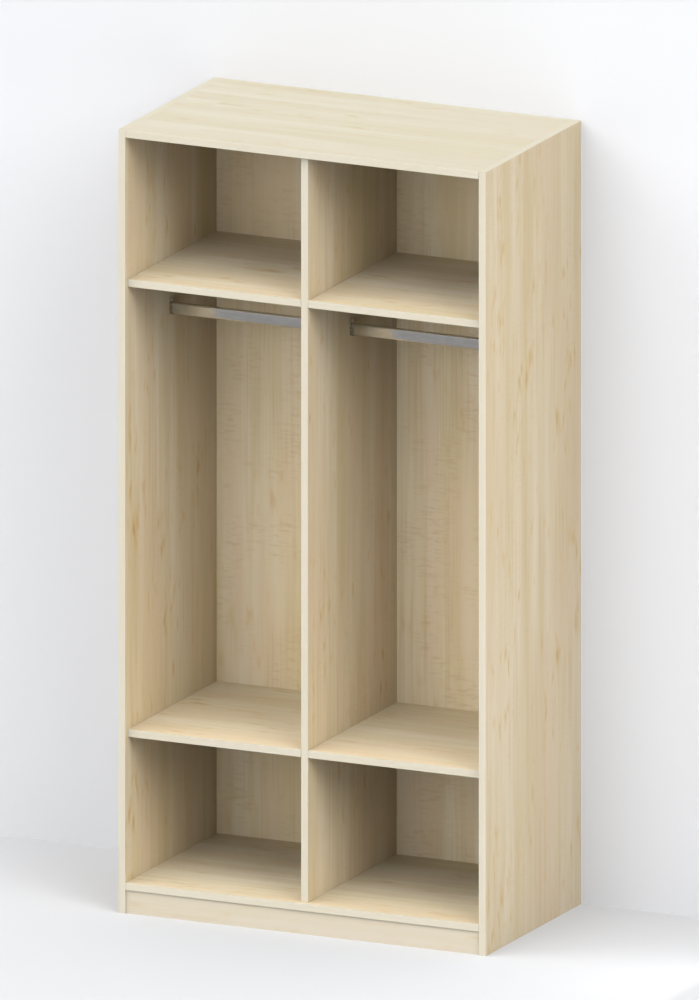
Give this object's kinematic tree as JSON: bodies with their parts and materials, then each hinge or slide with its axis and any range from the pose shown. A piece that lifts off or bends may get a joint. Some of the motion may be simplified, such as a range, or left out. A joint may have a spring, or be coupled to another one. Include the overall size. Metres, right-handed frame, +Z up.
{
  "type": "open wardrobe",
  "caption": "Open wardrobe carcass in maple-faced board: bays side by side over a plinth, each with shelves on pins and an oval hanging rail in open-topped sockets.",
  "frame": {"origin": "on the floor, under the middle of the carcass", "axes": "+Z up, +X to the right seen from the front, +Y from the open front to the back"},
  "size_m": [1, 0.56, 2],
  "materials": {
    "maple_board": "satin maple melamine on particle board",
    "cream_edge_band": "plain cream edge band",
    "chrome_plate": "polished chrome plate",
    "zinc_steel": "zinc-plated steel"
  },
  "bodies": {
    "carcass": {"back_panel": "maple_board", "bottom_panel": "maple_board", "bottom_panel_band": "cream_edge_band", "cam_bottom_left_front": "zinc_steel", "cam_bottom_left_rear": "zinc_steel", "cam_bottom_right_front": "zinc_steel", "cam_bottom_right_rear": "zinc_steel", "cam_top_left_front": "zinc_steel", "cam_top_left_rear": "zinc_steel", "cam_top_right_front": "zinc_steel", "cam_top_right_rear": "zinc_steel", "centre_partition": "maple_board", "centre_partition_band": "cream_edge_band", "pin_lower_left_bay_left_front": "zinc_steel", "pin_lower_left_bay_left_rear": "zinc_steel", "pin_lower_left_bay_right_front": "zinc_steel", "pin_lower_left_bay_right_rear": "zinc_steel", "pin_lower_right_bay_left_front": "zinc_steel", "pin_lower_right_bay_left_rear": "zinc_steel", "pin_lower_right_bay_right_front": "zinc_steel", "pin_lower_right_bay_right_rear": "zinc_steel", "pin_upper_left_bay_left_front": "zinc_steel", "pin_upper_left_bay_left_rear": "zinc_steel", "pin_upper_left_bay_right_front": "zinc_steel", "pin_upper_left_bay_right_rear": "zinc_steel", "pin_upper_right_bay_left_front": "zinc_steel", "pin_upper_right_bay_left_rear": "zinc_steel", "pin_upper_right_bay_right_front": "zinc_steel", "pin_upper_right_bay_right_rear": "zinc_steel", "plinth_front": "maple_board", "plinth_rear": "maple_board", "rail_screw_left_bay_left_lower": "zinc_steel", "rail_screw_left_bay_left_upper": "zinc_steel", "rail_screw_left_bay_right_lower": "zinc_steel", "rail_screw_left_bay_right_upper": "zinc_steel", "rail_screw_right_bay_left_lower": "zinc_steel", "rail_screw_right_bay_left_upper": "zinc_steel", "rail_screw_right_bay_right_lower": "zinc_steel", "rail_screw_right_bay_right_upper": "zinc_steel", "rail_socket_left_bay_left": "chrome_plate", "rail_socket_left_bay_right": "chrome_plate", "rail_socket_right_bay_left": "chrome_plate", "rail_socket_right_bay_right": "chrome_plate", "side_panel_left": "maple_board", "side_panel_left_band": "cream_edge_band", "side_panel_right": "maple_board", "side_panel_right_band": "cream_edge_band", "top_panel": "maple_board", "top_panel_band": "cream_edge_band"},
    "upper_shelf_left": {"upper_shelf_left": "maple_board", "upper_shelf_left_band": "cream_edge_band"},
    "upper_shelf_right": {"upper_shelf_right": "maple_board", "upper_shelf_right_band": "cream_edge_band"},
    "lower_shelf_left": {"lower_shelf_left": "maple_board", "lower_shelf_left_band": "cream_edge_band"},
    "lower_shelf_right": {"lower_shelf_right": "maple_board", "lower_shelf_right_band": "cream_edge_band"},
    "hanging_rail_left": {"hanging_rail_left": "chrome_plate"},
    "hanging_rail_right": {"hanging_rail_right": "chrome_plate"}
  },
  "joints": [
    {"name": "upper_shelf_left_lift", "type": "slide", "parent": "carcass", "child": "upper_shelf_left", "axis": [0, 0, 1], "range_m": [0, 0.36]},
    {"name": "upper_shelf_right_lift", "type": "slide", "parent": "carcass", "child": "upper_shelf_right", "axis": [0, 0, 1], "range_m": [0, 0.36]},
    {"name": "lower_shelf_left_lift", "type": "slide", "parent": "carcass", "child": "lower_shelf_left", "axis": [0, 0, 1], "range_m": [0, 0.98]},
    {"name": "lower_shelf_right_lift", "type": "slide", "parent": "carcass", "child": "lower_shelf_right", "axis": [0, 0, 1], "range_m": [0, 0.98]},
    {"name": "hanging_rail_left_lift", "type": "slide", "parent": "carcass", "child": "hanging_rail_left", "axis": [0, 0, 1], "range_m": [0, 0.095]},
    {"name": "hanging_rail_right_lift", "type": "slide", "parent": "carcass", "child": "hanging_rail_right", "axis": [0, 0, 1], "range_m": [0, 0.095]}
  ]
}
